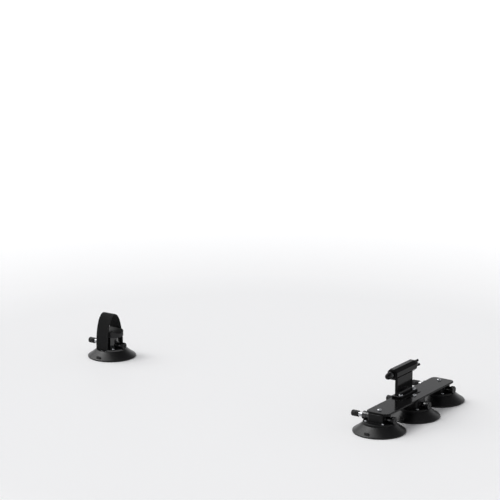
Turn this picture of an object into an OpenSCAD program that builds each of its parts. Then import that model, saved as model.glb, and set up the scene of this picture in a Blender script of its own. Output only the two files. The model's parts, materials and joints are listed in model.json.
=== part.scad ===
// Roof mounted bike carrier: a fork mount on three vacuum cups and a wheel cradle on a fourth.
// Millimetres. +X is forward, +Y is the left side, +Z is up and the roof is the plane z = 0.

/* [Layout] */
// Distance from the rear cup to the row of front end cups
rear_spacing = 907; // [700:1:1200]
// Distance between neighbouring front cups, across the roof
cup_pitch = 144; // [135:1:180]
// How far the middle cup stands ahead of the end cups
middle_ahead = 11.4; // [0:0.2:16]

/* [Vacuum cup] */
// Diameter of a cup over its lip
cup_d = 127; // [110:1:134]
// Thickness of the cup's rim
rim_t = 4; // [3:0.5:6]
// Height of the cup, roof to crown
cup_h = 20.5; // [18:0.5:23]
// Diameter of the flat crown
crown_d = 81; // [78:1:86]
// How far the flank bows in between rim and crown
flank_bow = 0.8; // [0:0.1:2]
// Depth of the vacuum dish under the cup
dish_depth = 3.2; // [1.5:0.1:3.8]
// Width of the flat sealing lip
seal_w = 6; // [4:0.5:10]
// Slope of the dish's edge, measured along the roof
dish_run = 9; // [5:0.5:14]
// Width of the release lug on the rim
lug_w = 13; // [8:0.5:16]
// Depth of the release lug, measured along the radius
lug_t = 5.6; // [4:0.2:7]
// Height of the release lug above the roof
lug_h = 10.6; // [9:0.2:13]
// Distance from the rim to the middle of the lug
lug_in = 6; // [5:0.5:10]

/* [Backing plate] */
// Diameter of the steel plate in the crown
backing_d = 72; // [70:1:75]
// Thickness of the steel plate
backing_t = 3; // [2:0.5:4]

/* [Pump body] */
// Thickness of the round flange
flange_t = 5.5; // [5:0.1:7]
// How far the flange stands in from the crown's edge
flange_in = 1.5; // [0.5:0.5:3]
// Length of the block, along the pump
body_l = 40; // [36:1:41]
// Width of the block
body_w = 45; // [36:1:46]
// Radius of the block's upright edges
body_r = 5; // [4:0.5:8]
// Screw positions along the pump, from the cup's middle
screw_x = 23; // [22:0.1:24]
// Screw positions across the pump, from the cup's middle
screw_y = 23; // [22:0.1:24]
// Diameter of a body screw
screw_d = 4; // [3:0.5:5]
// Diameter of a body screw's head
screw_head_d = 6.6; // [6:0.1:7]

/* [Pump] */
// Height of the pump's axis above the roof
pump_z = 32.6; // [32:0.1:34]
// Diameter of the piston bore
bore_d = 13; // [12.6:0.1:13.4]
// Wall of the barrel round the piston bore
barrel_wall = 1.6; // [1.4:0.1:2]
// Diameter of the barrel's collar behind the body
collar_d = 18.6; // [18:0.1:19.4]
// Length of the collar
collar_l = 12; // [8:0.5:14]
// Diameter of the gland nut
gland_d = 20; // [19:0.2:20.6]
// Length of the gland nut
gland_l = 11.5; // [8:0.5:14]
// Diameter of the stem
stem_d = 11; // [9:0.2:11.4]
// Length of stem that shows when the plunger is out
stem_show = 12; // [8:0.5:20]
// Travel of the plunger
stroke = 11.5; // [6:0.5:11.5]
// Diameter of the knob
knob_d = 15; // [14:0.5:20]
// Length of the knob
knob_l = 19; // [16:0.5:26]
// Diameter of the barrel ahead of the body
front_d = 15; // [13:0.5:15.6]
// Length of barrel that shows ahead of the body
front_l = 15; // [10:0.5:20]
// Diameter of the end cap
cap_d = 19; // [17:0.5:20]
// Length of the end cap
cap_l = 7.8; // [6.5:0.1:10]
// Wire diameter of the return spring
wire_d = 1.2; // [0.8:0.1:1.4]
// Turns of the return spring
spring_turns = 7; // [4:1:9]

/* [Base plate] */
// Length of the plate, across the roof
plate_l = 327; // [312:1:420]
// Width of the plate
plate_w = 61.5; // [60:0.5:80]
// Thickness of the plate
plate_t = 4.5; // [3:0.5:6]
// Height of the plate's top above the roof
plate_top = 51; // [50:0.5:56]
// How far the plate's middle line stands ahead of the end cups
plate_ahead = 3.3; // [2:0.1:6]
// Radius of the plate's corners
plate_r = 12; // [6:0.5:20]
// Diameter of the plate bolts
bolt_d = 6; // [5:0.5:6]
// Diameter of the bolt heads
bolt_head_d = 10.5; // [9:0.5:11]
// Length of each slot, end to end
slot_l = 22; // [12:0.5:26]
// Width of each slot
slot_w = 5.5; // [4:0.5:6]
// Distance between the middles of the two slots
slot_pitch = 50; // [48:1:60]
// Position of the slots ahead of the end cups
slot_ahead = 8.5; // [8:0.1:9]

/* [Fork upright] */
// Distance between a fork's dropouts, a standard size
fork_width = 100; // [90:1:150]
// Width of the eight-sided tube across its flats
tube_af = 27; // [24:0.5:30]
// Height of the fork axle above the roof
axle_z = 110.4; // [108:0.2:140]
// How far the fork axle stands behind the end cups
axle_back = 22; // [20:0.5:24]
// Length of the foot along the roof
foot_l = 26; // [25.5:0.5:27]
// Width of the foot across the roof
foot_w = 84; // [80:1:90]
// Radius of the foot's corners
foot_r = 3; // [1:0.5:5]
// Thickness of the foot
foot_t = 5; // [4:0.5:8]
// Thickness of the web
web_t = 7; // [5:0.5:8]
// Width of the web across the roof
web_w = 72; // [60:1:80]
// Distance between the two foot bolts
foot_bolt_pitch = 62; // [60:1:70]
// Radius of the fillet between web and foot
web_fillet = 6; // [2:0.5:8]

/* [Quick release] */
// Diameter of the stubs that the dropouts sit on, a standard size
stub_d = 9; // [8:0.5:10]
// Length of the stubs
stub_l = 5.5; // [4:0.5:6]
// Room for a dropout between washer and nut
dropout_room = 6.5; // [6.5:0.5:10]
// Thickness of the washer on each axle end
washer_t = 1.5; // [1:0.5:3]
// Diameter of that washer
washer_d = 21; // [18:0.5:24]
// Diameter of the shank in the tube
shank_d = 14; // [12:0.5:15]
// Length of the shank in the tube
shank_l = 18; // [10:1:30]
// Diameter of the skewer rod
rod_d = 5; // [4:0.5:6]
// Diameter of the adjusting nut
nut_d = 17; // [14:0.5:18]
// Length of the adjusting nut
nut_l = 6; // [4:0.5:10]
// Length of the nut's cap
nut_cap_l = 14; // [10:0.5:18]
// Radius of the lever's cam
cam_r = 7.5; // [7.5:0.5:9]
// How far the cam's middle lies off its pin
cam_throw = 1.25; // [0.6:0.05:1.5]
// Diameter of the cam pin
cam_pin_d = 8.4; // [8:0.2:9]
// Width of the cam along its pin
cam_w = 16; // [14:0.5:18]
// Length of the lever from its pin to its tip
lever_l = 50; // [36:1:52]
// Width of the lever's blade
lever_w = 11; // [8:0.5:14]
// Width of the blade where it leaves the cam
lever_root = 9; // [7:0.5:14]
// Thickness of the lever's blade
lever_t = 4.6; // [3:0.2:6]
// Rise of the closed lever above the level, in degrees
lever_rise = -25; // [-60:1:60]

/* [Wheel cradle] */
// Diameter of the rear post
post_d = 34; // [30:1:36]
// Height of the post's top above the roof
post_top = 56; // [54:1:70]
// Length of the cradle, along the wheel
cradle_l = 62; // [50:1:80]
// Width of the cradle
cradle_w = 46; // [44:1:48]
// Height of the cradle
cradle_h = 17; // [15:0.5:24]
// Radius of the cradle's corners
cradle_r = 19; // [10:1:21]
// Radius of the tyre groove
groove_r = 26; // [24:1:34]
// Bevel round the cradle's top
cradle_ease = 2; // [0.5:0.5:3]
// Depth of the tyre groove
groove_depth = 8; // [6:0.5:8.5]

/* [Wheel strap] */
// Width of the strap
strap_w = 38; // [36:0.5:38.5]
// Thickness of the strap
strap_t = 2.2; // [1.4:0.1:2.4]
// How far the strap stands ahead of the rear cup's middle
strap_ahead = -8; // [-8.5:0.5:-7.5]
// Height of the strap's arch above the roof
strap_top = 115.5; // [105:0.5:140]
// Distance between the strap's two upright runs
strap_span = 62; // [60:1:64]
// Length of the overlap on the far side
strap_overlap = 38; // [25:1:45]

/* [Clearances] */
// Running clearance of a shaft in its hole
fit = 0.05; // [0.03:0.01:0.08]
// Room between pieces that only come near each other
gap = 0.3; // [0.2:0.05:0.4]

/* [Hidden] */
SIDES = ["right", "middle", "left", "rear"];
REAR = 3;
CUP_NODES = [
    "suction_pad", "backing_plate", "pump_body", "pump_barrel", "gland_nut",
    "end_cap", "plunger", "knob", "piston_seal", "return_spring",
];
$fn = 64;
rubber = [0.13, 0.13, 0.14];
satin_black = [0.17, 0.17, 0.18];
gloss_black = [0.09, 0.09, 0.1];
bright = [0.8, 0.8, 0.82];
webbing = [0.2, 0.2, 0.21];

// How far a cut runs on past the face it opens
over = 1;

// Vacuum cup
lip_ease = 1;
cup_r = cup_d / 2;
crown_r = crown_d / 2;
backing_r = backing_d / 2;
backing_z = cup_h - backing_t;
flange_top = cup_h + flange_t;
port_r = 2;
screw_head_h = 2.4;

// Pump, as positions along its axis from the cup's middle
bore_r = bore_d / 2;
barrel_r = bore_r + barrel_wall;
stem_r = stem_d / 2;
half_body = body_l / 2;
collar_x = -(half_body + collar_l);
gland_x = collar_x - gland_l;
knob_x = gland_x - stem_show;
knob_end_x = knob_x - knob_l;
gland_spigot = 2;
piston_l = 8;
piston_x = collar_x + gland_spigot + gap;
piston_front_x = piston_x + piston_l;
seal_r = 0.95;
seal_ring_r = bore_r - fit - seal_r;
seal_side_room = 0.25;
seal_floor_room = 0.1;
groove_half = seal_r + seal_side_room;
groove_floor = seal_ring_r - seal_r - seal_floor_room;
spring_room = 18;
spring_x = piston_front_x + stroke + spring_room + wire_d;
valve_wall = 3;
chamber_x = spring_x + valve_wall;
chamber_wall = 2.5;
chamber_r = front_d / 2 - chamber_wall;
valve_hole_r = 1.3;
cap_x = half_body + front_l;
cap_seat = 4.5;
port_land = 1;
port_x = spring_x - port_r - port_land;
knob_spigot_r = 4;
knob_spigot_l = 11;

// Layout: the origin is under the middle of the whole set
front_reach = middle_ahead + cup_r;
rear_reach = -knob_end_x;
front_x = (rear_spacing + rear_reach - front_reach) / 2;
rear_x = front_x - rear_spacing;
CUPS = [
    [front_x, -cup_pitch], [front_x + middle_ahead, 0], [front_x, cup_pitch], [rear_x, 0],
];

// Base plate and upright
plate_z = plate_top - plate_t;
edge_ease = 0.8;
plate_x = front_x + plate_ahead;
bolt_r = bolt_d / 2;
tap_wall = 1;
tap_floor = pump_z + barrel_r + fit + tap_wall;
bolt_head_h = 3.3;
foot_x = plate_x - plate_w / 2;
foot_top = plate_top + foot_t;
axle_x = front_x - axle_back;
web_ahead = 1;
web_x = axle_x + web_ahead;
foot_bolt_edge = 1.5;
foot_bolt_x = foot_x + foot_l - bolt_head_d / 2 - foot_bolt_edge;
tube_l = fork_width - 2 * washer_t;
tube_corner_r = tube_af / 2 / cos(22.5);
tube_ease = 1.2;

// Quick release, as positions across the roof
half_fork = fork_width / 2;
nut_y = half_fork + dropout_room;
seat_t = 4;
seat_r = 9;
cam_y = nut_y + seat_t + gap + cam_r + cam_throw;
rod_r = rod_d / 2;
cap_wall = 2.5;
nut_bore_l = nut_l + nut_cap_l - cap_wall;

// Wheel unit
tunnel_h = strap_t + 2 * gap;
tunnel_w = strap_w + 4 * gap;
tunnel_x = strap_ahead - tunnel_w / 2;
spigot_wall = 1.4;
spigot_r = port_r + spigot_wall;
cradle_top = post_top + cradle_h;
groove_z = cradle_top - groove_depth;
head_sink = 4.2;

// Strap: its middle line in the plane across the wheel, as [y, z] points
strap_y = strap_span / 2;
strap_low_z = cup_h + gap + strap_t / 2;
strap_bend_r = 2.6;
notch_room = 1;
notch_y = strap_y - strap_bend_r - notch_room;
strap_arch_z = strap_low_z + strap_bend_r;
strap_arch_h = strap_top - strap_t / 2 - strap_arch_z;
arch_power = 0.833;
arch_steps = 36;
bend_steps = 6;
lap_steps = 8;
lap_gap = strap_t + gap;
lap_start = 9;
function arch(t) = [strap_y * cos(t), strap_arch_z + strap_arch_h * pow(sin(t), arch_power)];
function arch_angle(rise) = asin(pow(rise / strap_arch_h, 1 / arch_power));
function between(a, b, k, n) = a + (b - a) * k / n;
function bend(side, grow, a) = [
    side * (strap_y - strap_bend_r + (strap_bend_r + grow) * sin(a)),
    strap_low_z + (strap_bend_r + grow) * (1 - cos(a)),
];
strap_line = concat(
    [for (k = [0 : arch_steps]) arch(between(arch_angle(lap_start), 180, k, arch_steps))],
    [for (k = [1 : bend_steps]) bend(-1, 0, between(90, 0, k, bend_steps))],
    [for (k = [0 : bend_steps]) bend(1, lap_gap, between(0, 90, k, bend_steps))],
    [for (k = [0 : lap_steps])
        [lap_gap, 0] + arch(arch_angle(between(2 * lap_gap, strap_overlap, k, lap_steps)))]
);

// Shapes that repeat

// A plate with round corners whose edges are cut off at 45 degrees, below by e0 and above by e1
module eased_plate(l, w, r, t, e0, e1) {
    function section(half) = [[half - e0, 0], [half, e0], [half, t - e1], [half - e1, t]];
    function mirrored(p) = [for (k = [len(p) - 1 : -1 : 0]) [-p[k][0], p[k][1]]];
    for (sx = [-1, 1], sy = [-1, 1]) translate([sx * (l / 2 - r), sy * (w / 2 - r), 0])
        rotate_extrude() polygon(concat([[0, 0]], section(r), [[0, t]]));
    rotate([90, 0, 90]) linear_extrude(l - 2 * r, center = true)
        polygon(concat(section(w / 2), mirrored(section(w / 2))));
    rotate([90, 0, 0]) linear_extrude(w - 2 * r, center = true)
        polygon(concat(section(l / 2), mirrored(section(l / 2))));
}

module stadium(l, w) {
    square([w, l - w], center = true);
    for (s = [-1, 1]) translate([0, s * (l - w) / 2]) circle(w / 2);
}

// A body turned about the pump's axis from [radius, position] points
module turned_x(points) {
    translate([0, 0, pump_z]) rotate([0, 90, 0]) rotate_extrude() polygon(points);
}

// A body turned about the fork axle from [radius, position] points, side 1 or -1 across the roof
module turned_y(points, side = 1) {
    translate([axle_x, 0, axle_z]) rotate([-90 * side, 0, 0]) rotate_extrude() polygon(points);
}

module at_cup(i) {
    translate([CUPS[i].x, CUPS[i].y, 0]) children();
}

module at_screws() {
    for (sx = [-1, 1], sy = [-1, 1]) translate([sx * screw_x, sy * screw_y, 0]) children();
}

// A round-headed screw with its head seated at z = 0
module button_screw(d, head_d, head_h, length) {
    head_r = head_d / 2;
    socket = d * 0.62;
    difference() {
        rotate_extrude() polygon(concat(
            [[0, -length], [d / 2, -length], [d / 2, 0], [head_r, 0]],
            [for (a = [0 : 15 : 75]) [head_r * cos(a * 0.72), head_h * (0.3 + 0.7 * sin(a) / sin(75))]],
            [[0, head_h]]
        ));
        translate([0, 0, head_h * 0.35]) cylinder(r = socket / 2 / cos(30), h = head_h, $fn = 6);
    }
}

// An upright cylinder between two heights
module drum(r, z0, z1) {
    translate([0, 0, z0]) cylinder(r = r, h = z1 - z0);
}

// Vacuum cup

function flank(t) = [
    cup_r - lip_ease + (crown_r - cup_r + lip_ease) * t,
    rim_t + (cup_h - rim_t) * t - 4 * flank_bow * t * (1 - t),
];

module suction_pad() {
    color(rubber) difference() {
        union() {
            rotate_extrude($fn = 96) polygon(concat(
                [[0, dish_depth], [cup_r - seal_w - dish_run, dish_depth], [cup_r - seal_w, 0],
                 [cup_r - lip_ease, 0], [cup_r, lip_ease], [cup_r, rim_t - lip_ease]],
                [for (k = [0 : 10]) flank(k / 10)],
                [[0, cup_h]]
            ));
            translate([0, -(cup_r - lug_in), rim_t / 2]) linear_extrude(lug_h - rim_t / 2)
                rotate(90) stadium(lug_w, lug_t);
        }
        drum(backing_r + fit, backing_z, cup_h + over);
        translate([port_x, 0, 0]) drum(port_r, -over, cup_h);
    }
}

module backing_plate() {
    color(bright) difference() {
        drum(backing_r, backing_z, cup_h);
        translate([port_x, 0, 0]) drum(port_r, backing_z - over, cup_h + over);
        at_screws() drum(screw_d / 2 + fit, backing_z - over, cup_h + over);
    }
}

module flange() {
    flange_r = crown_r - flange_in;
    rotate_extrude() polygon([[0, cup_h], [flange_r, cup_h], [flange_r, flange_top - edge_ease],
                              [flange_r - edge_ease, flange_top], [0, flange_top]]);
}

// Holes that every pump body has: for the barrel, the vacuum port and the screws,
// and troughs in the flange where the barrel's two ends stand over it
module body_holes() {
    trough_r = max(gland_d, cap_d) / 2 + gap;
    turned_x([[0, -cup_r], [trough_r, -cup_r], [trough_r, -half_body], [barrel_r + fit, -half_body],
              [barrel_r + fit, half_body], [trough_r, half_body], [trough_r, cup_r], [0, cup_r]]);
    translate([port_x, 0, 0]) drum(port_r, cup_h - over, pump_z);
    at_screws() drum(screw_d / 2 + 2 * fit, cup_h - over, flange_top + over);
}

module pump_block() {
    color(satin_black) difference() {
        union() {
            flange();
            translate([0, 0, flange_top])
                eased_plate(body_l, body_w, body_r, plate_z - flange_top, 0, edge_ease);
        }
        body_holes();
        drum(bolt_r + fit, tap_floor, plate_z + over);
    }
}

// The rear body is a round post. The strap runs under its flange, where the port's spigot and
// the two rear screws pass through it, and comes up through a notch on each side
module pump_post() {
    color(gloss_black) difference() {
        union() {
            flange();
            drum(post_d / 2, flange_top, post_top);
            turned_x([[0, -half_body], [collar_d / 2, -half_body], [collar_d / 2, half_body],
                      [0, half_body]]);
        }
        difference() {
            translate([tunnel_x, -cup_r, cup_h - over]) cube([tunnel_w, cup_d, tunnel_h + over]);
            translate([port_x, 0, 0]) drum(spigot_r, cup_h, cup_h + tunnel_h + over);
        }
        for (s = [-1, 1]) translate([tunnel_x, s * (notch_y + cup_r / 2) - cup_r / 2, cup_h])
            cube([tunnel_w, cup_r, flange_t + over]);
        body_holes();
        drum(bolt_r + fit, tap_floor, post_top + over);
    }
}

// Pump

module pump_barrel() {
    color(gloss_black) difference() {
        turned_x([
            [bore_r, collar_x], [collar_d / 2, collar_x], [collar_d / 2, -half_body],
            [barrel_r, -half_body], [barrel_r, half_body], [front_d / 2, half_body],
            [front_d / 2, cap_x + cap_seat], [chamber_r, cap_x + cap_seat], [chamber_r, chamber_x],
            [valve_hole_r, chamber_x], [valve_hole_r, spring_x], [bore_r, spring_x],
        ]);
        translate([port_x, 0, 0]) drum(port_r, pump_z - cup_h, pump_z);
    }
}

module gland_nut() {
    edge = 1;
    color(gloss_black) turned_x([
        [stem_r + fit, gland_x], [gland_d / 2 - edge, gland_x], [gland_d / 2, gland_x + edge],
        [gland_d / 2, collar_x], [bore_r - fit, collar_x],
        [bore_r - fit, collar_x + gland_spigot], [stem_r + fit, collar_x + gland_spigot],
    ]);
}

module end_cap() {
    vent_r = 1.5;
    edge = 1;
    color(satin_black) turned_x([
        [front_d / 2 + fit, cap_x], [cap_d / 2, cap_x], [cap_d / 2, cap_x + cap_l - edge],
        [cap_d / 2 - edge, cap_x + cap_l], [vent_r, cap_x + cap_l], [vent_r, cap_x + cap_seat],
        [front_d / 2 + fit, cap_x + cap_seat],
    ]);
}

module check_valve() {
    disc_room = 0.6;
    disc_taper = 0.6;
    disc_edge = 1.2;
    disc_crown = 1.8;
    disc_r = chamber_r - disc_room;
    color(rubber) turned_x([
        [0, spring_x + gap], [valve_hole_r - fit, spring_x + gap], [valve_hole_r - fit, chamber_x],
        [disc_r, chamber_x], [disc_r - disc_taper, chamber_x + disc_edge], [0, chamber_x + disc_crown],
    ]);
}

module plunger() {
    groove_x = piston_x + piston_l / 2;
    color(bright) turned_x([
        [0, knob_x - knob_spigot_l], [knob_spigot_r, knob_x - knob_spigot_l],
        [knob_spigot_r, knob_x], [stem_r, knob_x], [stem_r, piston_x], [bore_r - fit, piston_x],
        [bore_r - fit, groove_x - groove_half], [groove_floor, groove_x - groove_half],
        [groove_floor, groove_x + groove_half], [bore_r - fit, groove_x + groove_half],
        [bore_r - fit, piston_front_x], [0, piston_front_x],
    ]);
}

// Push knob with two finger grooves and a domed end
module knob() {
    knob_r = knob_d / 2;
    edge = 0.8;
    band = 2.4;
    dip = 0.5;
    dome = 2.5;
    hole_x = knob_x - knob_spigot_l - gap;
    color(gloss_black) turned_x(concat(
        [[0, hole_x], [knob_spigot_r + fit, hole_x], [knob_spigot_r + fit, knob_x],
         [knob_r - edge, knob_x], [knob_r, knob_x - edge]],
        [for (k = [1 : 2]) for (p = [[0, 0], [dip, 0.5], [dip, 1.1], [0, 1.6]])
            [knob_r - p[0], knob_x - edge - k * band - p[1]]],
        [for (a = [0 : 15 : 75]) [knob_r - dome + dome * cos(a), knob_end_x + dome - dome * sin(a)]],
        [[0, knob_end_x]]
    ));
}

module piston_seal() {
    color(rubber) translate([piston_x + piston_l / 2, 0, pump_z]) rotate([0, 90, 0])
        rotate_extrude() translate([seal_ring_r, 0]) circle(seal_r, $fn = 24);
}

// Return spring: one round wire wound along the bore
spring_sides = 6;
spring_rings = 8;
spring_side_room = 1;
spring_mean_r = bore_r - spring_side_room - wire_d;
spring_l = spring_x - piston_front_x - wire_d - 2 * fit;
spring_steps = spring_turns * spring_rings;
function spring_point(k, s) =
    let (a = 360 * k / spring_rings, b = 360 * s / spring_sides, r = spring_mean_r + wire_d / 2 * cos(b))
    [piston_front_x + fit + wire_d / 2 + spring_l * k / spring_steps + wire_d / 2 * sin(b),
     r * cos(a), pump_z + r * sin(a)];

module return_spring() {
    last = spring_steps * spring_sides;
    color(bright) polyhedron(
        points = [for (k = [0 : spring_steps]) for (s = [0 : spring_sides - 1]) spring_point(k, s)],
        faces = concat(
            [for (k = [0 : spring_steps - 1]) for (s = [0 : spring_sides - 1])
                let (n = (s + 1) % spring_sides, a = k * spring_sides, b = a + spring_sides)
                each [[a + s, a + n, b + s], [a + n, b + n, b + s]]],
            [for (s = [1 : spring_sides - 2]) [0, s + 1, s]],
            [for (s = [1 : spring_sides - 2]) [last, last + s, last + s + 1]]
        )
    );
}

module check_valves() {
    for (i = [0 : REAR]) at_cup(i) check_valve();
}

module body_screws() {
    color(bright) for (i = [0 : REAR]) at_cup(i) at_screws() translate([0, 0, flange_top])
        button_screw(screw_d, screw_head_d, screw_head_h, flange_t + backing_t - gap);
}

// Front unit

module base_plate() {
    color(satin_black) translate([0, 0, plate_z]) difference() {
        translate([plate_x, 0, 0]) eased_plate(plate_w, plate_l, plate_r, plate_t, edge_ease, edge_ease);
        translate([0, 0, -over]) linear_extrude(plate_t + 2 * over) {
            for (i = [0 : REAR - 1]) translate(CUPS[i]) circle(bolt_r + 2 * fit);
            for (s = [-1, 1]) {
                translate([front_x + slot_ahead, s * slot_pitch / 2]) stadium(slot_l, slot_w);
                translate([foot_bolt_x, s * foot_bolt_pitch / 2]) circle(bolt_r + fit);
            }
        }
    }
}

module plate_bolts() {
    color(bright) for (i = [0 : REAR - 1]) at_cup(i) translate([0, 0, plate_top])
        button_screw(bolt_d, bolt_head_d, bolt_head_h, plate_top - tap_floor - gap);
}

// One extruded section, with its foot, web and tube cut to three widths
module fork_upright() {
    color(satin_black) difference() {
        union() {
            translate([foot_x + foot_l / 2, 0, plate_top])
                eased_plate(foot_l, foot_w, foot_r, foot_t, 0, edge_ease);
            rotate([90, 0, 0]) linear_extrude(web_w, center = true) {
                translate([web_x, plate_top]) square([web_t, axle_z - plate_top]);
                translate([web_x + web_t, foot_top]) difference() {
                    square(web_fillet);
                    translate([web_fillet, web_fillet]) circle(web_fillet);
                }
            }
            translate([axle_x, 0, axle_z]) rotate([90, 22.5, 0]) {
                cylinder(r = tube_corner_r, h = tube_l - 2 * tube_ease, center = true, $fn = 8);
                for (s = [0, 1]) mirror([0, 0, s]) translate([0, 0, tube_l / 2 - tube_ease])
                    cylinder(r1 = tube_corner_r, r2 = tube_corner_r - tube_ease, h = tube_ease, $fn = 8);
            }
        }
        translate([axle_x, 0, axle_z]) rotate([90, 0, 0])
            cylinder(r = shank_d / 2 + fit, h = fork_width, center = true);
        for (s = [-1, 1]) translate([foot_bolt_x, s * foot_bolt_pitch / 2, 0]) {
            drum(bolt_r + 2 * fit, plate_top - over, foot_top + over);
            drum(bolt_head_d / 2 + gap, foot_top, foot_top + web_fillet + over);
        }
    }
}

module upright_bolts() {
    color(bright) for (s = [-1, 1])
        translate([foot_bolt_x, s * foot_bolt_pitch / 2, foot_top])
            button_screw(bolt_d, bolt_head_d, bolt_head_h, foot_t + plate_t - gap);
}

module axle_end(side) {
    hole_r = rod_r + fit;
    color(bright) turned_y([
        [hole_r, tube_l / 2 - shank_l], [shank_d / 2, tube_l / 2 - shank_l],
        [shank_d / 2, tube_l / 2], [washer_d / 2, tube_l / 2], [washer_d / 2, half_fork],
        [stub_d / 2, half_fork], [stub_d / 2, half_fork + stub_l], [hole_r, half_fork + stub_l],
    ], side);
}

module skewer_rod() {
    rod_start = -(nut_y + nut_bore_l - gap);
    rod_recess = 1;
    rod_end = cam_y + cam_pin_d / 2 - rod_recess;
    color(bright) turned_y([[0, rod_start], [rod_r, rod_start], [rod_r, rod_end], [0, rod_end]]);
}

module cam_seat() {
    edge = 0.8;
    color(gloss_black) turned_y([
        [rod_r + fit, nut_y], [seat_r - edge, nut_y], [seat_r, nut_y + edge],
        [seat_r, nut_y + seat_t], [rod_r + fit, nut_y + seat_t],
    ]);
}

// The lever's own frame: pin along z, blade towards -x, fork on the -y side
module at_lever() {
    translate([axle_x, cam_y, axle_z]) rotate([0, lever_rise, 0]) children();
}

module cam_pin() {
    color(bright) at_lever() difference() {
        cylinder(d = cam_pin_d, h = cam_w, center = true);
        rotate([90, 0, 0]) cylinder(r = rod_r + fit, h = cam_pin_d + over, center = true);
    }
}

// Cam hub split round the rod, with a curved blade that ends in a round tip
module cam_lever() {
    sweep = 5;
    steps = 12;
    root = lever_t * 0.9;
    tip_r = lever_w / 2;
    function blade_y(t) = -cam_throw + sweep * t * t;
    slot_half = rod_r + gap;
    color(gloss_black) at_lever() difference() {
        union() {
            translate([0, -cam_throw, 0]) cylinder(r = cam_r, h = cam_w, center = true);
            intersection() {
                linear_extrude(cam_w, center = true) polygon(concat(
                    [for (k = [0 : steps]) [-lever_l * k / steps, blade_y(k / steps) - lever_t / 2]],
                    [for (k = [steps : -1 : 0]) [-lever_l * k / steps, blade_y(k / steps)
                        + lever_t / 2 + root * pow(1 - k / steps, 3)]]
                ));
                rotate([90, 0, 0]) linear_extrude(lever_l, center = true) {
                    polygon([[-lever_l + tip_r, -tip_r], [0, -lever_root / 2], [0, lever_root / 2],
                             [-lever_l + tip_r, tip_r]]);
                    translate([-lever_l + tip_r, 0]) circle(tip_r);
                }
            }
        }
        cylinder(d = cam_pin_d + 2 * fit, h = cam_w + over, center = true);
        translate([-slot_half, -lever_l, -slot_half]) cube([lever_l, 2 * lever_l, 2 * slot_half]);
    }
}

// Adjusting nut with ten shallow finger flutes
module skewer_nut() {
    flutes = 10;
    flute_r = 1.2;
    plain_l = 1.5;
    color(bright) difference() {
        turned_y([[rod_r + fit, nut_y], [nut_d / 2, nut_y], [nut_d / 2, nut_y + nut_l],
                  [rod_r + fit, nut_y + nut_l]], -1);
        for (k = [0 : flutes - 1]) translate([axle_x, 0, axle_z]) rotate([0, 360 * k / flutes, 0])
            translate([nut_d / 2 + flute_r / 2, -nut_y - plain_l, 0]) rotate([90, 0, 0])
                cylinder(r = flute_r, h = nut_l, $fn = 24);
    }
}

module nut_cap() {
    step = 0.4;
    crown = 1;
    cap_r = nut_d / 2 - step;
    hole_y = nut_y + nut_bore_l;
    end_y = nut_y + nut_l + nut_cap_l;
    straight = 1.5;
    shoulder = nut_cap_l - straight - crown;
    color(gloss_black) turned_y(concat(
        [[0, hole_y], [rod_r + fit, hole_y], [rod_r + fit, nut_y + nut_l], [cap_r, nut_y + nut_l]],
        [for (a = [0 : 15 : 75])
            [cap_r * cos(a * 0.9), nut_y + nut_l + straight + shoulder * sin(a) / sin(75)]],
        [[0, end_y]]
    ), -1);
}

// Rear unit

module tyre_cradle() {
    groove_mid = groove_z + groove_r;
    color(rubber) translate([rear_x, 0, 0]) difference() {
        translate([0, 0, post_top])
            eased_plate(cradle_l, cradle_w, cradle_r, cradle_h, edge_ease, cradle_ease);
        translate([0, 0, groove_mid]) rotate([0, 90, 0])
            cylinder(r = groove_r, h = cradle_l + 2 * over, center = true);
        drum(bolt_r + 2 * fit, post_top - over, cradle_top);
        drum(bolt_head_d / 2 + gap, groove_z - head_sink, cradle_top);
    }
}

module cradle_bolt() {
    seat_z = groove_z - head_sink;
    color(bright) translate([rear_x, 0, seat_z])
        button_screw(bolt_d, bolt_head_d, bolt_head_h, seat_z - tap_floor - gap);
}

// The strap's outline is its middle line moved out by half its thickness on both sides
function unit(v) = v / norm(v);
function line_dir(p, k) = unit(p[min(k + 1, len(p) - 1)] - p[max(k - 1, 0)]);
function beside(p, d) = [
    for (k = [0 : len(p) - 1]) p[k] + d * [-line_dir(p, k)[1], line_dir(p, k)[0]],
];
function reversed(p) = [for (k = [len(p) - 1 : -1 : 0]) p[k]];

module wheel_strap() {
    outline = concat(beside(strap_line, strap_t / 2), reversed(beside(strap_line, -strap_t / 2)));
    color(webbing) translate([rear_x, 0, 0]) difference() {
        translate([strap_ahead, 0, 0]) rotate([90, 0, 90])
            linear_extrude(strap_w, center = true) polygon(outline);
        translate([port_x, 0, 0]) drum(spigot_r + gap, cup_h, cup_h + tunnel_h);
        for (s = [-1, 1]) translate([-screw_x, s * screw_y, 0])
            drum(screw_d / 2 + gap, cup_h, cup_h + tunnel_h);
    }
}

for (i = [0 : REAR]) {
    at_cup(i) suction_pad();
    at_cup(i) backing_plate();
    at_cup(i) pump_barrel();
    at_cup(i) gland_nut();
    at_cup(i) end_cap();
    at_cup(i) plunger();
    at_cup(i) knob();
    at_cup(i) piston_seal();
    at_cup(i) return_spring();
}
for (i = [0 : REAR - 1])
    at_cup(i) pump_block();
at_cup(REAR) pump_post();  // pump_body_rear
check_valves();
body_screws();
base_plate();
plate_bolts();
fork_upright();
upright_bolts();
axle_end(-1);  // axle_end_right
axle_end(1);  // axle_end_left
skewer_rod();
cam_seat();
cam_pin();
cam_lever();
skewer_nut();
nut_cap();
tyre_cradle();
cradle_bolt();
wheel_strap();
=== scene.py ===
"""Dresses the carrier: a finish for every CAD node, and finer knobs, springs and strap."""
import json
import math

import bpy
import numpy as np
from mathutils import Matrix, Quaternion, Vector


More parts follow.
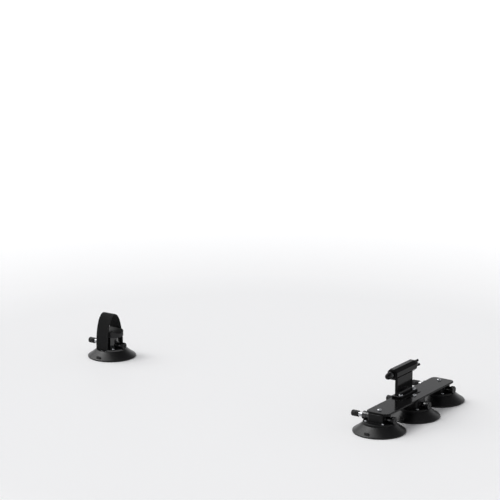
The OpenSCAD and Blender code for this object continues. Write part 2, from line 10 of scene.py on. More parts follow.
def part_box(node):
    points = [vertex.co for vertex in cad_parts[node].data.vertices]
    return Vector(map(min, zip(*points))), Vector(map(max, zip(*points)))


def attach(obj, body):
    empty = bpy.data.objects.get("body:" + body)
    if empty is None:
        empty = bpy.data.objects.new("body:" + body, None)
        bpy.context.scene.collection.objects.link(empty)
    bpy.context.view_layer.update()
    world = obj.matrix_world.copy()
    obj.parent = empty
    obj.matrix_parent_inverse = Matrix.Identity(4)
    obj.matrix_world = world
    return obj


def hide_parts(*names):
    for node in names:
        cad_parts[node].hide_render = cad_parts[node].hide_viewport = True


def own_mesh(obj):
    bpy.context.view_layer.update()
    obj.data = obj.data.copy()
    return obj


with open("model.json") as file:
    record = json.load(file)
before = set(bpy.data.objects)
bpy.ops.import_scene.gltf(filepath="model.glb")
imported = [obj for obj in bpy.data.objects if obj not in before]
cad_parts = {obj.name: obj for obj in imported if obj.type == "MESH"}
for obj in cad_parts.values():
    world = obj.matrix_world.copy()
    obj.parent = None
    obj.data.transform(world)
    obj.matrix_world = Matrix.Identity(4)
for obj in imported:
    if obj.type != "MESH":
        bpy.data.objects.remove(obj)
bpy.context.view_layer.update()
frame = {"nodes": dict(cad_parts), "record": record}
nodes = frame["nodes"]
MM = 0.001
SIDES = ("right", "middle", "left", "rear")


# Camera

CAMERA_AZIMUTH = math.radians(34.15)
CAMERA_ELEVATION = math.radians(13.45)
CAMERA_ROLL = math.radians(-0.09)
CAMERA_DISTANCE = 5.6906
CAMERA_TARGET = Vector((-0.4023, 0.5779, 0.1801))
CAMERA_LENS = 143.55
CAMERA_SENSOR = 36.0
CAMERA_REACH = 100.0


def place_camera():
    """Sets the camera where it was fitted: a point on a sphere round the target, looking at it."""
    data = bpy.data.cameras.new("photo_camera")
    data.sensor_width = CAMERA_SENSOR
    data.lens = CAMERA_LENS
    data.clip_end = CAMERA_REACH
    camera = linked("photo_camera", data)
    level = math.cos(CAMERA_ELEVATION)
    back = Vector((math.sin(CAMERA_AZIMUTH) * level, -math.cos(CAMERA_AZIMUTH) * level,
                   math.sin(CAMERA_ELEVATION)))
    camera.location = CAMERA_TARGET + back * CAMERA_DISTANCE
    camera.rotation_mode = "QUATERNION"
    turn = (-back).to_track_quat("-Z", "Y")
    camera.rotation_quaternion = turn @ Quaternion((0.0, 0.0, 1.0), CAMERA_ROLL)
    bpy.context.scene.camera = camera


# Meshes from numpy grids

SHARP_EDGE = math.radians(50)


def linked(name, data):
    """An object for the data, at the origin, in the scene's collection."""
    made = bpy.data.objects.new(name, data)
    bpy.context.scene.collection.objects.link(made)
    return made


def eased(values, passes):
    """The values drawn towards their neighbours, a quarter from each side in every pass; both ends stay."""
    for _ in range(passes):
        values[1:-1] = (values[:-2] + 2 * values[1:-1] + values[2:]) / 4
    return values


def surface(name, points, uv=None, hole=None):
    """A mesh object from a grid of points (rows u, columns v), one quad for each cell outside the hole."""
    rows, columns = points.shape[:2]
    u, v = np.meshgrid(np.arange(rows - 1), np.arange(columns - 1), indexing="ij")
    kept = np.ones(u.shape, bool) if hole is None else ~hole
    u, v = u[kept], v[kept]
    corners = [(u, v), (u + 1, v), (u + 1, v + 1), (u, v + 1)]
    quads = np.stack([a * columns + b for a, b in corners], axis=-1)
    mesh = bpy.data.meshes.new(name)
    mesh.from_pydata(points.reshape(-1, 3), [], quads)
    if uv is not None:
        layer = mesh.uv_layers.new(name="along_and_across")
        layer.data.foreach_set("uv", np.stack([uv[a, b] for a, b in corners], axis=1).reshape(-1))
    mesh.shade_smooth()
    return linked(name, mesh)


def closed_forms(name, rings, poles):
    """A mesh object of closed forms, from rings (form, ring, point, xyz) between two poles (form, end, xyz).

    Each ring is joined to the next, and the first and last are fanned to the poles. The points of a ring run
    anticlockwise as seen from the last pole."""
    count, rows, columns = rings.shape[:3]
    points = np.concatenate([rings.reshape(count, -1, 3), poles], axis=1)
    at, after = np.arange(columns), (np.arange(columns) + 1) % columns
    start = (np.arange(rows - 1) * columns)[:, None]
    quads = np.stack([start + at, start + after, start + columns + after, start + columns + at], axis=-1)
    first, last = np.full(columns, rows * columns), np.full(columns, rows * columns + 1)
    end = (rows - 1) * columns
    fans = np.concatenate([np.stack([first, after, at], axis=-1),
                           np.stack([last, end + at, end + after], axis=-1)])
    shift = (np.arange(count) * points.shape[1])[:, None, None]
    quads = (quads.reshape(1, -1, 4) + shift).reshape(-1, 4)
    fans = (fans[None] + shift).reshape(-1, 3)
    mesh = bpy.data.meshes.new(name)
    mesh.from_pydata(points.reshape(-1, 3), [], quads.tolist() + fans.tolist())
    mesh.shade_smooth()
    mesh.set_sharp_from_angle(angle=SHARP_EDGE)
    return linked(name, mesh)


# Finishes

EDGE_SAMPLES = 6
EDGE_LIKENESS = (0.9, 0.99)
# How much lighter the painted highlight on bright metal edges is
EDGE_HIGHLIGHT = 1.15
ROLLED_ALONG, ROLLED_ACROSS = 25.0, 1500.0
# The colour sockets of a Mix node: two inputs and the output
MIX_FIRST, MIX_SECOND, MIX_COLOUR = 6, 7, 2
# In metres, as the shader measures them
# Depth of the grip's crest band that is painted lighter, for wear and highlight
RUB_AND_HIGHLIGHT_DEPTH = 0.00025
WARP_PITCH = 0.0013
PICK_PITCH = 0.001
SELVEDGE_BORDER = (0.0016, 0.0011)


def add_node(tree, kind, inputs=None, **settings):
    """A new node with its settings; an input is either linked from a socket or given a value."""
    made = tree.nodes.new(kind)
    for name, value in settings.items():
        setattr(made, name, value)
    for name, value in (inputs or {}).items():
        if isinstance(value, bpy.types.NodeSocket):
            tree.links.new(value, made.inputs[name])
        else:
            made.inputs[name].default_value = value
    return made


class Finish:
    """A material in the making: its node tree, its shader and the coordinates that its patterns read."""

    def __init__(self, name, colour, roughness, metallic=0.0, specular=0.5):
        self.material = bpy.data.materials.new(name)
        self.material.use_nodes = True
        self.tree = self.material.node_tree
        self.shader = self.tree.nodes["Principled BSDF"]
        self.colour = colour
        self.roughness = roughness
        self.set("Base Color", (*colour, 1.0))
        self.set("Roughness", roughness)
        self.set("Metallic", metallic)
        self.set("Specular IOR Level", specular)
        self.normal = None

    def set(self, socket, value):
        self.shader.inputs[socket].default_value = value

    def node(self, kind, inputs=None, **settings):
        return add_node(self.tree, kind, inputs, **settings)

    def coords(self, scale=(1.0, 1.0, 1.0), centre=(0.0, 0.0, 0.0), source="Object"):
        """Coordinates measured from centre and stretched by scale."""
        raw = self.node("ShaderNodeTexCoord").outputs[source]
        moved = self.node("ShaderNodeVectorMath", {0: raw, 1: centre}, operation="SUBTRACT").outputs[0]
        return self.node("ShaderNodeVectorMath", {0: moved, 1: scale}, operation="MULTIPLY").outputs[0]

    def noise(self, vector, scale, detail=3.0):
        inputs = {"Vector": vector, "Scale": scale, "Detail": detail}
        return self.node("ShaderNodeTexNoise", inputs).outputs["Fac"]

    def span(self, value, low, high, start=0.3, end=0.7):
        """A value from start to end, carried to low to high."""
        return self.node("ShaderNodeMapRange", {"Value": value, "From Min": start, "From Max": end,
                                                "To Min": low, "To Max": high}).outputs["Result"]

    def soften(self, radius):
        """Rounds the look of the edges over radius; the value given is 1 on an edge and 0 on a flat."""
        self.normal = self.node("ShaderNodeBevel", {"Radius": radius}, samples=EDGE_SAMPLES).outputs["Normal"]
        flat = self.node("ShaderNodeNewGeometry").outputs["Normal"]
        likeness = self.node("ShaderNodeVectorMath", {0: self.normal, 1: flat}, operation="DOT_PRODUCT")
        self.tree.links.new(self.normal, self.shader.inputs["Normal"])
        return self.span(likeness.outputs["Value"], 1.0, 0.0, *EDGE_LIKENESS)

    def blend(self, factor, first, second):
        """A colour that goes from first to second with the factor."""
        inputs = {"Factor": factor, MIX_FIRST: first, MIX_SECOND: second}
        return self.node("ShaderNodeMix", inputs, data_type="RGBA").outputs[MIX_COLOUR]

    def shades(self, value, low, high):
        """The finish's own colour times low to high by the pattern."""
        dark, light = (tuple(c * k for c in self.colour) + (1.0,) for k in (low, high))
        return self.blend(value, dark, light)

    def paint(self, colour):
        self.tree.links.new(colour, self.shader.inputs["Base Color"])

    def overlay(self, amount, over, pattern, low, high):
        """Paints the finish's own colour, shaded by the pattern, with the colour over on it by the amount."""
        self.paint(self.blend(amount, self.shades(pattern, low, high), (*over, 1.0)))

    def maths(self, operation, first, second=0.0):
        return self.node("ShaderNodeMath", {0: first, 1: second}, operation=operation).outputs[0]

    def product(self, first, second):
        return self.maths("MULTIPLY", first, second)

    def vary_roughness(self, value, spread):
        self.tree.links.new(self.span(value, self.roughness - spread, self.roughness + spread),
                            self.shader.inputs["Roughness"])

    def bump(self, value, distance):
        """Adds a height pattern, distance high in metres, over those already there."""
        inputs = {"Height": value, "Distance": distance, "Strength": 1.0}
        if self.normal is not None:
            inputs["Normal"] = self.normal
        self.normal = self.node("ShaderNodeBump", inputs).outputs["Normal"]
        self.tree.links.new(self.normal, self.shader.inputs["Normal"])


def cup_rubber(name, centre):
    """Satin moulded rubber: fine grain, faint turned rings round the cup, a soft bloom and rubbed edges."""
    finish = Finish(name, (0.0055, 0.0055, 0.0058), roughness=0.36, specular=0.32)
    edge = finish.soften(radius=0.0009)
    place = finish.coords(centre=centre)
    grain = finish.noise(place, scale=1400.0, detail=4.0)
    patches = finish.noise(place, scale=38.0, detail=4.0)
    rings = finish.node("ShaderNodeTexWave", {"Vector": place, "Scale": 150.0, "Distortion": 0.3,
                                              "Detail": 1.0}, wave_type="RINGS", rings_direction="Z")
    rubbed = finish.product(edge, finish.span(patches, low=0.2, high=0.8))
    finish.overlay(rubbed, (0.035, 0.035, 0.036), patches, low=0.7, high=1.35)
    finish.vary_roughness(patches, spread=0.05)
    finish.bump(rings.outputs["Fac"], distance=0.00004)
    finish.bump(grain, distance=0.00003)
    return finish.material


def moulded_rubber(name):
    """Matte rubber of the cradle: coarse grain and a dusty bloom that gathers on the edges."""
    finish = Finish(name, (0.011, 0.011, 0.0115), roughness=0.55, specular=0.3)
    edge = finish.soften(radius=0.0012)
    place = finish.coords()
    grain = finish.noise(place, scale=900.0, detail=4.0)
    patches = finish.noise(place, scale=60.0, detail=5.0)
    dusty = finish.product(edge, finish.span(patches, low=0.2, high=0.8))
    finish.overlay(dusty, (0.04, 0.04, 0.041), patches, low=0.65, high=1.4)
    finish.vary_roughness(patches, spread=0.07)
    finish.bump(grain, distance=0.00007)
    return finish.material


def anodised(name, colour, roughness, along, specular):
    """Black anodised aluminium: fine rolling lines along one axis, and lighter edges, part metal worn through
    and part painted highlight.
    """
    finish = Finish(name, colour, roughness, specular=specular)
    edge = finish.soften(radius=0.0011)
    scale = tuple(ROLLED_ALONG if axis == along else ROLLED_ACROSS for axis in "XYZ")
    lines = finish.noise(finish.coords(scale=scale), scale=1.0, detail=2.0)
    patches = finish.noise(finish.coords(), scale=22.0, detail=3.0)
    chips = finish.noise(finish.coords(), scale=420.0, detail=3.0)
    # Lighter colour on chipped edges: part edge wear, part a painted highlight along the edges.
    edge_wear_and_highlight = finish.product(edge, finish.span(chips, low=0.05, high=0.7, start=0.45, end=0.75))
    finish.overlay(edge_wear_and_highlight, (0.12, 0.12, 0.125), patches, low=0.8, high=1.25)
    finish.vary_roughness(lines, spread=roughness * 0.25)
    finish.bump(lines, distance=0.000008)
    return finish.material


def gloss_moulding(name, colour, roughness, specular):
    """Glossy black moulding: faint waviness, hairline scuffs and edges dulled by handling."""
    finish = Finish(name, colour, roughness, specular=specular)
    edge = finish.soften(radius=0.0006)
    place = finish.coords()
    waves = finish.noise(place, scale=120.0, detail=2.0)
    scuffs = finish.noise(finish.coords(scale=(300.0, 1800.0, 1800.0)), scale=1.0, detail=3.0)
    dulled = finish.product(edge, finish.span(waves, low=0.1, high=0.6))
    finish.overlay(dulled, (0.03, 0.03, 0.031), waves, low=0.8, high=1.25)
    finish.vary_roughness(scuffs, spread=0.06)
    finish.bump(waves, distance=0.00003)
    return finish.material


def grip_moulding(name, centre, crest):
    """Black grip turned about X through centre: satin moulding, lighter at crest, its widest part, by rubbed
    wear and a painted highlight.
    """
    finish = Finish(name, (0.0045, 0.0045, 0.0048), roughness=0.3, specular=0.2)
    edge = finish.soften(radius=0.0004)
    place = finish.coords(centre=centre)
    off_axis = finish.coords(scale=(0.0, 1.0, 1.0), centre=centre)
    radius = finish.node("ShaderNodeVectorMath", {0: off_axis}, operation="LENGTH").outputs["Value"]
    # The crest band is painted lighter: part rubbed wear, part a painted highlight.
    high = finish.span(radius, 0.0, 1.0, crest - RUB_AND_HIGHLIGHT_DEPTH, crest)
    scuffs = finish.noise(place, scale=700.0, detail=3.0)
    rubbed = finish.product(finish.maths("MAXIMUM", edge, high), finish.span(scuffs, low=0.05, high=0.5))
    finish.overlay(rubbed, (0.02, 0.02, 0.0205), scuffs, low=0.8, high=1.25)
    finish.vary_roughness(scuffs, spread=0.06)
    finish.bump(scuffs, distance=0.00002)
    return finish.material


def grained_moulding(name, colour, roughness):
    """Matte black moulding with an etched grain and smoother, lighter edges."""
    finish = Finish(name, colour, roughness, specular=0.15)
    edge = finish.soften(radius=0.0008)
    place = finish.coords()
    grain = finish.node("ShaderNodeTexVoronoi", {"Vector": place, "Scale": 1300.0}).outputs["Distance"]
    patches = finish.noise(place, scale=50.0, detail=3.0)
    rubbed = finish.product(edge, finish.span(patches, low=0.2, high=0.8))
    finish.overlay(rubbed, (0.03, 0.03, 0.031), patches, low=0.75, high=1.3)
    finish.vary_roughness(patches, spread=0.05)
    finish.bump(grain, distance=0.00004)
    return finish.material


def bright_metal(name, colour, roughness, scale):
    """Polished or plated metal with fine tool lines; scale stretches them along the piece. Its edges get a
    painted highlight.
    """
    finish = Finish(name, colour, roughness, metallic=1.0)
    edge = finish.soften(radius=0.0004)
    lines = finish.noise(finish.coords(scale=scale), scale=1.0, detail=2.0)
    stains = finish.noise(finish.coords(), scale=160.0, detail=3.0)
    # Painted highlight: the edges are painted lighter than the metal.
    light = tuple(min(1.0, c * EDGE_HIGHLIGHT) for c in colour)
    finish.overlay(edge, light, stains, low=0.82, high=1.05)
    finish.vary_roughness(lines, spread=roughness * 0.4)
    finish.bump(lines, distance=0.000006)
    return finish.material


def woven_webbing(name, half_width):
    """Woven strap: warp ribs along it and picks across it from its own UV map, tighter at both selvedges."""
    finish = Finish(name, (0.007, 0.007, 0.0073), roughness=0.8, specular=0.1)
    finish.set("Sheen Weight", 0.07)
    finish.set("Sheen Roughness", 0.5)
    place = finish.coords(source="UV")
    parts = finish.node("ShaderNodeSeparateXYZ", {"Vector": place})
    along, across = parts.outputs["X"], parts.outputs["Y"]

    def wave(value, pitch):
        return finish.maths("SINE", finish.product(value, 2 * math.pi / pitch))

    crossing = finish.product(wave(across, WARP_PITCH), wave(along, PICK_PITCH))
    weave = finish.span(crossing, low=0.0, high=1.0, start=-1.0, end=1.0)
    inner, outer = (half_width - inset for inset in SELVEDGE_BORDER)
    border = finish.span(finish.maths("ABSOLUTE", across), 0.0, 1.0, inner, outer)
    fuzz = finish.noise(place, scale=2600.0, detail=3.0)
    shade = finish.noise(place, scale=70.0, detail=4.0)
    yarn = finish.product(weave, finish.span(shade, low=0.7, high=1.3))
    finish.overlay(border, (0.012, 0.012, 0.0125), yarn, low=0.5, high=1.6)
    finish.vary_roughness(shade, spread=0.06)
    finish.bump(weave, distance=0.0002)
    finish.bump(fuzz, distance=0.00008)
    return finish.material


def sewing_thread(name):
    """Twisted black thread, a little lighter than the webbing."""
    finish = Finish(name, (0.016, 0.016, 0.0165), roughness=0.6, specular=0.3)
    twist = finish.noise(finish.coords(), scale=3000.0, detail=2.0)
    finish.paint(finish.shades(twist, low=0.6, high=1.5))
    finish.vary_roughness(twist, spread=0.1)
    finish.bump(twist, distance=0.00005)
    return finish.material


# Pump knobs, in millimetres; the socket has a radius and a depth

KNOB_L = 19.0
KNOB_R = 7.5
KNOB_SOCKET = (4.05, 11.3)
KNOB_EDGE = 0.8
KNOB_DOME = 2.5
FINGER_GROOVES = (4.0, 6.4)
GROOVE_W = 1.6
GROOVE_DIP = 0.5
RIDGES = 24
RIDGE_SPAN = (8.0, 16.0)
RIDGE_DIP = 0.4
RIDGE_POINTS = 8
EDGE_RINGS = 7
RUN_RINGS = 45


def pump_knob(side):
    """A knob turned about its pump's axis, with a socket for the stem, two finger grooves and a ridged grip.

    The outline gives a radius for each distance behind the front face: a rounded front edge, a straight run
    less a squared cosine in each finger groove, and a rounded back edge. Along the ridged span a cosine of
    the angle lowers the surface between the ridges, easing in and out at the span's ends."""
    low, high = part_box(f"knob_{side}")
    turn = np.radians(np.linspace(0.0, 90.0, EDGE_RINGS))
    run = np.linspace(KNOB_EDGE, KNOB_L - KNOB_DOME, RUN_RINGS)
    off = [np.clip((run - c) / GROOVE_W, -0.5, 0.5) for c in FINGER_GROOVES]
    straight = KNOB_R - GROOVE_DIP * sum(np.cos(np.pi * o) ** 2 for o in off)
    behind = np.concatenate([[KNOB_SOCKET[1], 0.0], KNOB_EDGE * (1 - np.cos(turn)), run[1:-1],
                             KNOB_L - KNOB_DOME * (1 - np.sin(turn))])
    radius = np.concatenate([[KNOB_SOCKET[0]] * 2, KNOB_R - KNOB_EDGE * (1 - np.sin(turn)), straight[1:-1],
                             KNOB_R - KNOB_DOME * (1 - np.cos(turn))])
    ease = np.clip(np.minimum(behind - RIDGE_SPAN[0], RIDGE_SPAN[1] - behind), 0.0, 1.0)
    ease[:2] = 0.0
    angle = np.linspace(0.0, 2 * np.pi, RIDGES * RIDGE_POINTS, endpoint=False)
    reach = radius[:, None] - RIDGE_DIP * ease[:, None] * (0.5 - 0.5 * np.cos(RIDGES * angle))
    middle = (low + high) / 2
    rings = np.stack([np.broadcast_to(high.x - behind[:, None] * MM, reach.shape),
                      middle.y + reach * np.cos(angle) * MM, middle.z - reach * np.sin(angle) * MM], axis=-1)
    poles = np.array([[high.x - KNOB_SOCKET[1] * MM, middle.y, middle.z], [low.x, middle.y, middle.z]])
    knob = closed_forms(f"grip_{side}", rings[None], poles[None])
    knob.data.materials.append(grip_moulding(f"grip_moulding_{side}", tuple(middle), KNOB_R * MM))
    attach(knob, f"plunger_{side}")
    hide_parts(f"knob_{side}")


# Return springs, in millimetres

WIRE_R = 0.6
SPRING_TURNS = 7
CLOSED_TURNS = 0.75
CLOSED_PITCH = 2.1 * WIRE_R
SPRING_EASING = 6
TURN_RINGS = 32
WIRE_POINTS = 12


def return_spring(side):
    """A coil of round wire with a closed turn at each end.

    The wire's middle line is a helix. Its rise along the axis is slow over the closed turns at both ends,
    where the wire nearly touches itself, and even between them. Rings of points stand square to that line."""
    low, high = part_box(f"return_spring_{side}")
    middle = (low + high) / 2
    length = (high.x - low.x) / MM - 2 * WIRE_R
    coil_r = (high.y - low.y) / MM / 2 - WIRE_R
    turns = np.linspace(0.0, SPRING_TURNS, SPRING_TURNS * TURN_RINGS + 1)
    closed = CLOSED_TURNS * CLOSED_PITCH
    x = np.interp(turns, [0.0, CLOSED_TURNS, SPRING_TURNS - CLOSED_TURNS, SPRING_TURNS],
                  [0.0, closed, length - closed, length])
    x = eased(x, SPRING_EASING)
    angle = 2 * np.pi * turns
    outward = np.column_stack([np.zeros_like(angle), np.cos(angle), np.sin(angle)])
    line = np.column_stack([x, np.zeros_like(x), np.zeros_like(x)]) + coil_r * outward
    run = np.gradient(line, axis=0)
    run /= np.linalg.norm(run, axis=1)[:, None]
    upright = np.cross(run, outward)
    turn = np.linspace(0.0, 2 * np.pi, WIRE_POINTS, endpoint=False)[:, None]
    rings = line[:, None] + WIRE_R * (np.cos(turn) * outward[:, None] + np.sin(turn) * upright[:, None])
    start = np.array([low.x + WIRE_R * MM, middle.y, middle.z])
    spring = closed_forms(f"coil_{side}", start + rings[None] * MM, start + line[[0, -1]][None] * MM)
    spring.data.materials.append(bpy.data.materials["plated_steel"])
    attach(spring, "carrier")
    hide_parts(f"return_spring_{side}")
    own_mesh(spring)


# Strap, in the upright plane across the carrier as (y, z), in millimetres as in the part's source

REAR_X = -453.7
STRAP_AHEAD = -8.0
STRAP_W = 38.0
STRAP_T = 2.2
STRAP_Y = 31.0
STRAP_LOW_Z = 21.9
STRAP_BEND_R = 2.6
STRAP_ARCH_Z = STRAP_LOW_Z + STRAP_BEND_R
STRAP_ARCH_H = 89.9
ARCH_POWER = 0.833
LAP_GAP = 2.5
LAP_START = 9.0
STRAP_OVERLAP = 38.0
STRAP_STEPS = 520
STRAP_COLUMNS = 53
STRAP_EASING = 4
BEND_STEPS = 13
ARCH_STEPS = 181
LAP_STEPS = 33
SELVEDGE_SINK = 0.12
SELVEDGE_POWER = 8
SELVEDGE_BEVEL = 0.6
SELVEDGE_ANGLE = math.radians(60)
NEAR_LEVEL = 0.1
TINY = 1e-6
STITCH_PITCH = 3.6
STITCH_INSET = 3.2
# A stitch's half length, half width and half height
STITCH_HALF = (1.35, 0.36, 0.16)
STITCH_REACH = 0.85
STITCH_RINGS = 5
STITCH_POINTS = 8
# For each hole in the low run: x from the post's axis, y and its radius
STRAP_HOLES = ((6.0, 0.0, 4.0), (-23.0, -23.0, 2.5), (-23.0, 23.0, 2.5))


def strap_bend(side, grow, angle):
    """A quarter circle of radius STRAP_BEND_R + grow between the strap's low run and its upright run."""
    radius = STRAP_BEND_R + grow
    y = side * (STRAP_Y - STRAP_BEND_R + radius * np.sin(angle))
    return np.column_stack([y, STRAP_LOW_Z + radius * (1 - np.cos(angle))])


def strap_arch(t):
    """The arch: half an ellipse whose height goes with the sine to the power ARCH_POWER."""
    return np.column_stack([STRAP_Y * np.cos(t), STRAP_ARCH_Z + STRAP_ARCH_H * np.sin(t) ** ARCH_POWER])


def arch_angle(rise):
    """The angle at which the arch has risen by that much."""
    return math.asin((rise / STRAP_ARCH_H) ** (1 / ARCH_POWER))


def strap_path():
    """The strap's middle line: up the far side, over the arch, down, under, and up again outside its start.

    The line is cut into equal steps by its length. Each point then moves a little towards its neighbours."""
    turn = np.linspace(0.0, np.pi / 2, BEND_STEPS)
    over = strap_arch(np.linspace(arch_angle(LAP_START), np.pi - TINY, ARCH_STEPS))
    lap_angles = np.linspace(arch_angle(2 * LAP_GAP), arch_angle(STRAP_OVERLAP), LAP_STEPS)
    lap = strap_arch(lap_angles) + [LAP_GAP, 0.0]
    line = np.vstack([over, strap_bend(-1, 0.0, turn[::-1])[1:], strap_bend(1, LAP_GAP, turn), lap])
    steps = np.hypot(*np.diff(line, axis=0).T)
    along = np.concatenate([[0.0], np.cumsum(steps)])
    even = np.linspace(0.0, along[-1], STRAP_STEPS)
    path = eased(np.column_stack([np.interp(even, along, line[:, k]) for k in (0, 1)]), STRAP_EASING)
    tangent = np.gradient(path, axis=0)
    tangent /= np.linalg.norm(tangent, axis=1)[:, None]
    return path, tangent, even


def hole_places(path, along):
    """Each hole's place along the strap, its place across it and its radius."""
    under = path[:, 1] < STRAP_LOW_Z + NEAR_LEVEL
    return [(np.interp(y, path[under, 0], along[under]), x - STRAP_AHEAD, radius)
            for x, y, radius in STRAP_HOLES]


def wheel_strap():
    """The strap: a flat band carried along its path, with round holes for the spigot and two screws.

    Squares of the grid round a hole's middle are drawn to circles of the same half width, less and less up to
    twice the hole's radius. The cloth sinks slightly towards its selvedges."""
    path, tangent, along = strap_path()
    normal = np.column_stack([-tangent[:, 1], tangent[:, 0]])
    across = np.linspace(-STRAP_W / 2, STRAP_W / 2, STRAP_COLUMNS)
    flat_u, flat_v = np.meshgrid(along, across, indexing="ij")
    hole = np.zeros((STRAP_STEPS - 1, STRAP_COLUMNS - 1), bool)
    for hole_u, hole_v, radius in hole_places(path, along):
        du, dv = flat_u - hole_u, flat_v - hole_v
        cell = np.maximum(np.abs(du[:-1, :-1] + du[1:, 1:]), np.abs(dv[:-1, :-1] + dv[1:, 1:])) / 2
        hole |= cell < radius
        square = np.maximum(np.abs(du), np.abs(dv))
        circle = np.maximum(np.hypot(du, dv), TINY)
        draw = np.clip(2 - square / radius, 0.0, 1.0) * (square / circle - 1)
        flat_u, flat_v = flat_u + du * draw, flat_v + dv * draw
    points = np.empty((STRAP_STEPS, STRAP_COLUMNS, 3))
    points[..., 0] = REAR_X + STRAP_AHEAD + flat_v
    sink = SELVEDGE_SINK * (2 * across / STRAP_W) ** SELVEDGE_POWER
    for k in (0, 1):
        middle_line = np.interp(flat_u, along, path[:, k])
        lean = np.interp(flat_u, along, normal[:, k])
        points[..., 1 + k] = middle_line + lean * sink
    uv = np.stack([flat_u, flat_v], axis=-1) * MM
    piece = surface("strap_webbing", points * MM, uv=uv, hole=hole)
    thickness = piece.modifiers.new("thickness", "SOLIDIFY")
    thickness.thickness = STRAP_T * MM
    thickness.offset = 0.0
    selvedge = piece.modifiers.new("selvedge", "BEVEL")
    selvedge.width = SELVEDGE_BEVEL * MM
    selvedge.segments = 2
    selvedge.limit_method = "ANGLE"
    selvedge.angle_limit = SELVEDGE_ANGLE
    return piece, along[-1]


def strap_stitches():
    """Two rows of stitches along the strap, seen on both of its faces.

    Each stitch is a slim ellipsoid along the strap's path that lies half sunk in its face, one to a pitch.
    Those near a hole are left out."""
    path, tangent, along = strap_path()
    places = np.arange(STITCH_PITCH, along[-1] - STITCH_PITCH / 2, STITCH_PITCH)
    row = STRAP_W / 2 - STITCH_INSET
    u, v, face = (grid.ravel() for grid in np.meshgrid(places, [-row, row], [-1.0, 1.0], indexing="ij"))
    clear = np.ones(u.shape, bool)
    for hole_u, hole_v, radius in hole_places(path, along):
        clear &= np.hypot(u - hole_u, v - hole_v) > radius + STITCH_PITCH / 2
    u, v, face = u[clear], v[clear], face[clear]
    run = np.zeros((len(u), 3))
    middle = np.zeros((len(u), 3))
    for k in (0, 1):
        run[:, 1 + k] = np.interp(u, along, tangent[:, k])
        middle[:, 1 + k] = np.interp(u, along, path[:, k])
    out = np.column_stack([np.zeros(len(u)), -run[:, 2], run[:, 1]])
    middle[:, 0] = REAR_X + STRAP_AHEAD + v
    middle += out * (face * STRAP_T / 2)[:, None]
    half_l, half_w, half_h = STITCH_HALF
    step = np.linspace(-STITCH_REACH, STITCH_REACH, STITCH_RINGS)[:, None, None]
    angle = np.linspace(0.0, 2 * np.pi, STITCH_POINTS, endpoint=False)[:, None]
    girth = np.sqrt(1 - step ** 2)
    sideways = np.array([1.0, 0.0, 0.0]) * half_w * np.cos(angle)
    rings = (middle[:, None, None] + run[:, None, None] * half_l * step
             + girth * (sideways - out[:, None, None] * half_h * np.sin(angle)))
    poles = np.stack([middle - run * half_l, middle + run * half_l], axis=1)
    return closed_forms("strap_stitches", rings * MM, poles * MM)


# Stage

# For each lamp: the direction it stands in, its strength and how wide it looks
LAMPS = {"key_softbox": (Vector((-0.69, -0.05, 0.9)), 2.0, math.radians(60)),
         "strip_light": (Vector((-0.55, -0.25, 0.8)), 0.5, math.radians(18))}
FLOOR_HALF = 40.0
FLOOR_Z = -0.0002
FAR_GLOW = 0.4
GLOW_RUN = (0.9, 3.0)
SKY_LOW = (0.98, 0.985, 1.0, 1.0)
SKY_HIGH = (0.16, 0.16, 0.165, 1.0)
SKY_RISE = (0.2, 0.55)


def light_stage():
    """A pale floor, a sky that is white low down and dim overhead, a broad key light and a narrow one by it.

    Far from the carrier the floor glows, but only for the camera and for reflections."""
    ends = np.array([-FLOOR_HALF, FLOOR_HALF])
    x, y = np.meshgrid(ends, ends, indexing="ij")
    floor = surface("floor", np.stack([x, y, np.full_like(x, FLOOR_Z)], axis=-1))
    paint = Finish("floor_paint", (0.95, 0.95, 0.955), roughness=0.6, specular=0.2)
    away = paint.node("ShaderNodeVectorMath", {0: paint.coords()}, operation="LENGTH").outputs["Value"]
    ray = paint.node("ShaderNodeLightPath").outputs
    mirrored = paint.maths("MAXIMUM", ray["Is Glossy Ray"], ray["Is Transmission Ray"])
    seen = paint.maths("MAXIMUM", ray["Is Camera Ray"], mirrored)
    glow = paint.product(seen, paint.span(away, 0.0, FAR_GLOW, *GLOW_RUN))
    paint.set("Emission Color", (1.0, 1.0, 1.0, 1.0))
    paint.tree.links.new(glow, paint.shader.inputs["Emission Strength"])
    floor.data.materials.append(paint.material)

    world = bpy.data.worlds.new("pale_sky")
    bpy.context.scene.world = world
    world.use_nodes = True
    tree = world.node_tree
    place = add_node(tree, "ShaderNodeTexCoord").outputs["Generated"]
    height = add_node(tree, "ShaderNodeSeparateXYZ", {"Vector": place}).outputs["Z"]
    rise = add_node(tree, "ShaderNodeMapRange",
                    {"Value": height, "From Min": SKY_RISE[0], "From Max": SKY_RISE[1]},
                    interpolation_type="SMOOTHSTEP").outputs["Result"]
    shade = add_node(tree, "ShaderNodeMix", {"Factor": rise, MIX_FIRST: SKY_LOW, MIX_SECOND: SKY_HIGH},
                     data_type="RGBA").outputs[MIX_COLOUR]
    tree.links.new(shade, tree.nodes["Background"].inputs["Color"])

    for name, (source, strength, spread) in LAMPS.items():
        data = bpy.data.lights.new(name, "SUN")
        data.energy = strength
        data.angle = spread
        lamp = linked(name, data)
        lamp.rotation_euler = (-source).to_track_quat("-Z", "Y").to_euler()


# Assembly

ROUND_LINES = (900.0, 900.0, 900.0)
STEM_LINES = (2500.0, 60.0, 60.0)
NUT_LINES = (60.0, 900.0, 60.0)
MOULDING_BLACK = (0.0035, 0.0035, 0.0038)


def box_middle(name):
    low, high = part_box(name)
    return tuple((low + high) / 2)


def refinish(name, material):
    """Gives a CAD node this material alone."""
    slots = nodes[name].data.materials
    slots.clear()
    slots.append(material)


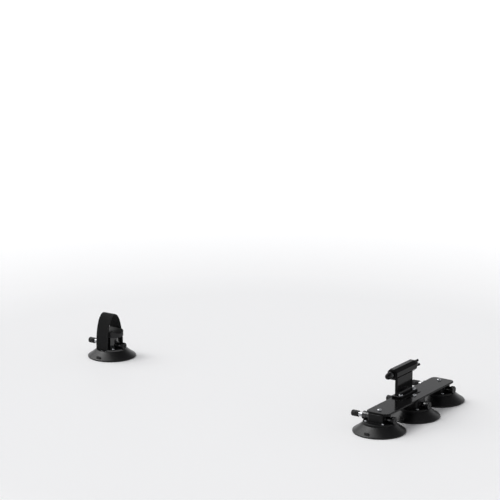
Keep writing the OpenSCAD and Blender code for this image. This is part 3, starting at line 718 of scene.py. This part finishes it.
def dress_nodes():
    """Gives every CAD node the finish of its slot; each cup gets its own, and three nodes a darker one, the
    upright's as painted shade.
    """
    finishes = {
        "rubber": moulded_rubber("moulded_rubber"),
        "zinc_steel": bright_metal("plated_steel", (0.52, 0.53, 0.55), roughness=0.3, scale=ROUND_LINES),
        "body_plastic": grained_moulding("grained_moulding", (0.006, 0.006, 0.0063), roughness=0.4),
        "gloss_black": gloss_moulding("gloss_moulding", MOULDING_BLACK, roughness=0.15, specular=0.75),
        "matte_black": gloss_moulding("cap_moulding", MOULDING_BLACK, roughness=0.24, specular=0.16),
        "polished_steel": bright_metal("polished_steel", (0.4, 0.405, 0.42), roughness=0.14,
                                       scale=STEM_LINES),
        "screw_steel": bright_metal("bright_fastener", (0.5, 0.51, 0.53), roughness=0.25, scale=ROUND_LINES),
        "plate_black": anodised("anodised_plate", (0.0035, 0.0035, 0.0037), roughness=0.17,
                                along="Y", specular=0.1),
        "lever_black": anodised("anodised_lever", (0.005, 0.005, 0.0053), roughness=0.22,
                                along="X", specular=0.15),
    }
    for part in frame["record"]["subparts"]:
        if part["material_slot"] in finishes:
            refinish(part["node"], finishes[part["material_slot"]])
    nut = bright_metal("dark_plated_nut", (0.07, 0.071, 0.074), roughness=0.28, scale=NUT_LINES)
    # The upright gets a darker copy of the anodised finish: painted shade for its faces turned from the
    # light.
    upright = anodised("anodised_upright_painted_shade", (0.002, 0.002, 0.0022), roughness=0.1, along="Y", specular=0.11)
    own = {"skewer_nut": nut, "nut_cap": finishes["matte_black"], "fork_upright": upright}
    for side in SIDES:
        own[f"suction_pad_{side}"] = cup_rubber(f"cup_rubber_{side}", box_middle(f"backing_plate_{side}"))
    for name, material in own.items():
        refinish(name, material)


place_camera()
light_stage()
dress_nodes()
for side in SIDES:
    pump_knob(side)
    return_spring(side)
strap, strap_length = wheel_strap()
strap.data.materials.append(woven_webbing("woven_webbing", STRAP_W / 2 * MM))
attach(strap, "carrier")
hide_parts("wheel_strap")
stitches = strap_stitches()
stitches.data.materials.append(sewing_thread("sewing_thread"))
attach(stitches, "carrier")
bpy.context.scene.view_settings.view_transform = "Standard"
